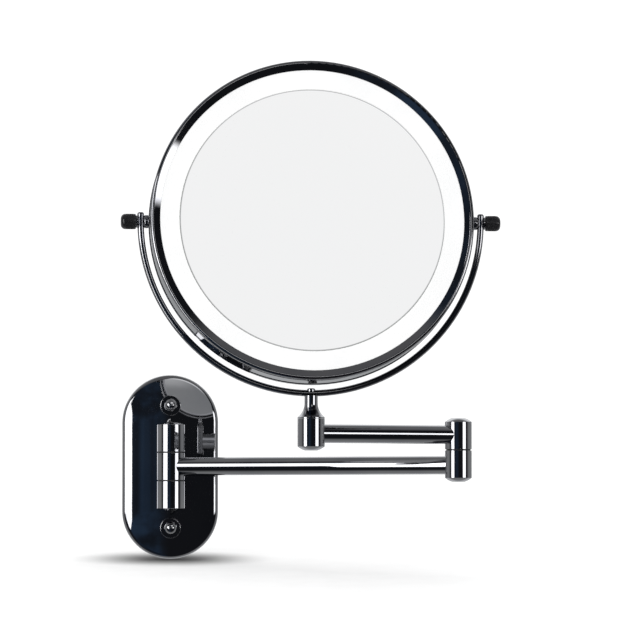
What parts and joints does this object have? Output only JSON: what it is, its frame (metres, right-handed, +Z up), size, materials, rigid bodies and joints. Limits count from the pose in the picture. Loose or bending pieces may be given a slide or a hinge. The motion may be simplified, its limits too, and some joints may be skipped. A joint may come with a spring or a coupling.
{
  "type": "extendable wall mirror",
  "caption": "Lit, two-sided round shaving mirror that tilts in a half-ring yoke on a folding swing arm, carried by a domed wall plate.",
  "frame": {"origin": "centre of the wall plate's back, on the wall plane", "axes": "+Z up, +Y into the wall, -Y towards the user, +X to the user's right when facing the wall"},
  "size_m": [0.2539, 0.1915, 0.3339],
  "materials": {
    "dark_chrome": "dark mirror polish",
    "steel": "zinc plated",
    "nylon": "matt",
    "black_nylon": "matt",
    "black_gloss": "gloss",
    "mirror_glass": "silvered glass",
    "frosted_white": "frosted, lit from behind",
    "white_plastic": "moulded",
    "circuit_board": "solder mask",
    "led": "phosphor",
    "brass": "turned",
    "battery_label": "printed sleeve",
    "wire_cover": "smooth"
  },
  "bodies": {
    "wall_base": {"mounting_bracket": "steel", "bracket_studs": "steel", "wall_plate": "dark_chrome", "cap_nuts": "dark_chrome", "nut_washers": "dark_chrome", "upper_knuckle": "dark_chrome", "lower_knuckle": "dark_chrome", "knuckle_screws": "steel", "hinge_pin": "steel", "hinge_washers": "black_nylon", "upper_hinge_cap": "dark_chrome", "lower_hinge_cap": "dark_chrome"},
    "long_arm": {"long_arm_knuckle": "dark_chrome", "hinge_bushes": "nylon", "long_arm_tube": "dark_chrome", "elbow_lower_barrel": "dark_chrome", "elbow_bottom_cap": "dark_chrome", "elbow_screw": "steel", "elbow_washer": "black_nylon"},
    "short_arm": {"elbow_upper_barrel": "dark_chrome", "elbow_top_cap": "dark_chrome", "elbow_bush": "nylon", "elbow_spring_washer": "steel", "short_arm_tube": "dark_chrome", "yoke_barrel": "dark_chrome", "yoke_barrel_cap": "dark_chrome", "swivel_bush": "nylon"},
    "yoke": {"swivel_stem": "dark_chrome", "swivel_screw": "steel", "swivel_spring_washer": "steel", "yoke_bar": "dark_chrome", "yoke_nut": "dark_chrome", "pivot_spacers": "dark_chrome", "pivot_washers": "dark_chrome"},
    "left_tilt_knob": {"left_knob": "black_gloss", "left_pivot_screw": "steel"},
    "right_tilt_knob": {"right_knob": "black_gloss", "right_pivot_screw": "steel"},
    "head": {"head_shell": "dark_chrome", "front_bezel": "dark_chrome", "rear_bezel": "dark_chrome", "front_mirror": "mirror_glass", "light_diffuser": "frosted_white", "rear_mirror": "mirror_glass", "inner_tray": "white_plastic", "led_board": "circuit_board", "leds": "led", "pivot_bushes": "brass", "tray_screws": "steel", "battery_holder": "black_nylon", "batteries": "battery_label", "battery_contacts": "steel", "driver_board": "circuit_board", "wires": "wire_cover", "switch_body": "black_nylon"},
    "light_switch": {"switch_button": "black_gloss"}
  },
  "joints": [
    {"name": "wall_hinge", "type": "hinge", "parent": "wall_base", "child": "long_arm", "pos_m": [0, -0.021, 0], "axis": [0, 0, 1], "range_deg": [-150, 26]},
    {"name": "elbow_hinge", "type": "hinge", "parent": "long_arm", "child": "short_arm", "pos_m": [0.1916, -0.12287, 0.01025], "axis": [0, 0, 1], "continuous": true},
    {"name": "yoke_swivel", "type": "hinge", "parent": "short_arm", "child": "yoke", "pos_m": [0.08951, -0.16516, 0.0205], "axis": [0, 0, 1], "continuous": true},
    {"name": "head_tilt", "type": "hinge", "parent": "yoke", "child": "head", "pos_m": [0.08951, -0.16516, 0.16114], "axis": [0.9994, 0.0349, 0], "continuous": true},
    {"name": "left_knob_turn", "type": "hinge", "parent": "yoke", "child": "left_tilt_knob", "pos_m": [0.08951, -0.16516, 0.16114], "axis": [-0.9994, -0.0349, 0], "range_deg": [0, 360]},
    {"name": "right_knob_turn", "type": "hinge", "parent": "yoke", "child": "right_tilt_knob", "pos_m": [0.08951, -0.16516, 0.16114], "axis": [0.9994, 0.0349, 0], "range_deg": [0, 360]},
    {"name": "switch_press", "type": "slide", "parent": "head", "child": "light_switch", "axis": [-0.0043, 0.1218, 0.9925], "range_m": [0, 0.0007], "stiffness_N_per_m": 400, "springref_m": -0.001}
  ]
}
